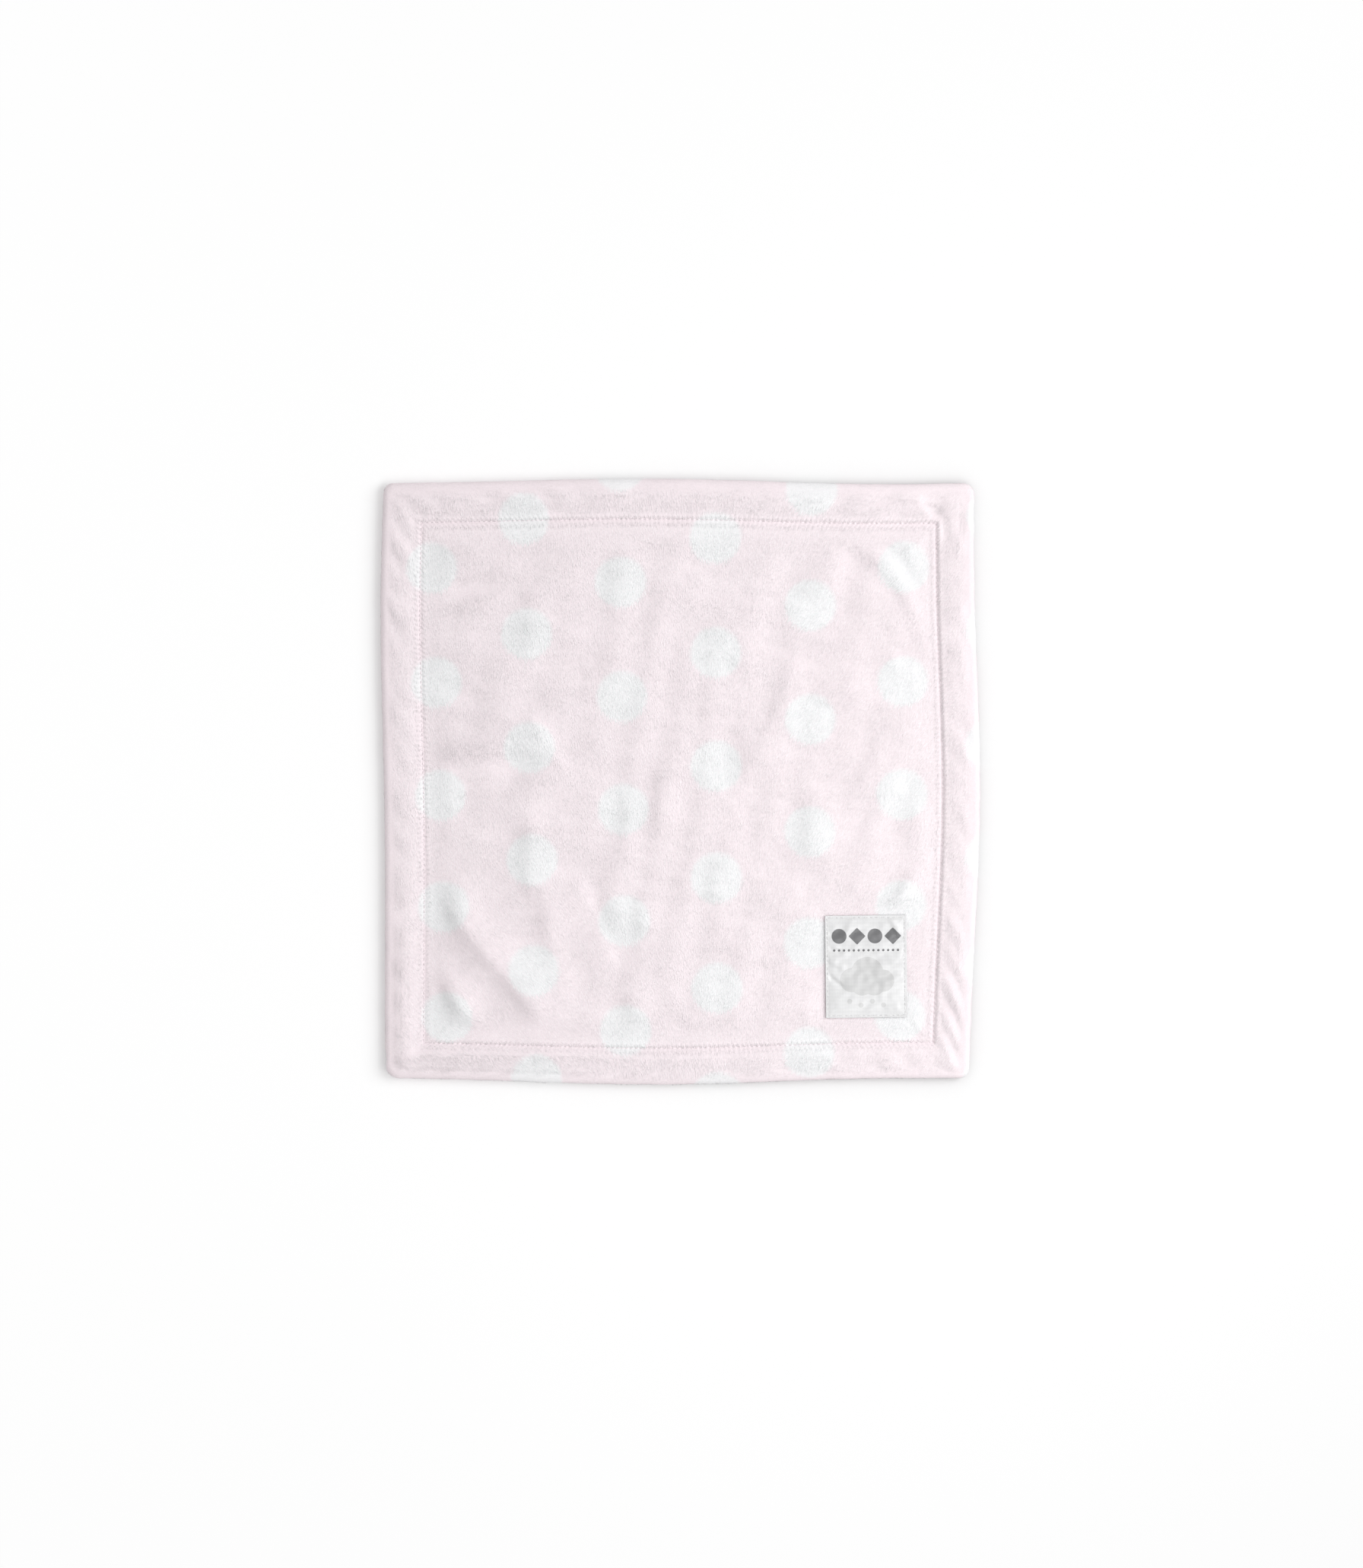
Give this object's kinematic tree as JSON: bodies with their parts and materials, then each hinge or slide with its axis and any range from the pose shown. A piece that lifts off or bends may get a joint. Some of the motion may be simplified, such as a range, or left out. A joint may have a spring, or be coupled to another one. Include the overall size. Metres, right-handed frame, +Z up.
{
  "type": "comfort blanket",
  "caption": "Small square baby comfort blanket of two dotted plush sheets with a rolled rim, a topstitched border and a satin label sewn on near one corner.",
  "frame": {"origin": "under the middle of the blanket's outline, on the surface that it lies on", "axes": "+Z up out of the front sheet, +Y towards the blanket's top edge, +X towards its right edge, with the label at the lower right"},
  "size_m": [0.3554, 0.3592, 0.0099],
  "materials": {
    "plush": "short dense velvet pile, pale pink with soft-edged white dots",
    "satin": "woven satin, silvery white with a soft sheen",
    "thread_pink": "twisted sewing thread, pale pink",
    "thread_white": "twisted sewing thread, off-white"
  },
  "bodies": {
    "root": {"back_sheet": "plush", "front_sheet": "plush", "satin_label": "satin", "topstitch_needle_thread": "thread_pink", "topstitch_bobbin_thread": "thread_pink", "rim_seam_needle_thread": "thread_pink", "rim_seam_bobbin_thread": "thread_pink", "label_needle_thread": "thread_white", "label_bobbin_thread": "thread_white"}
  },
  "joints": []
}
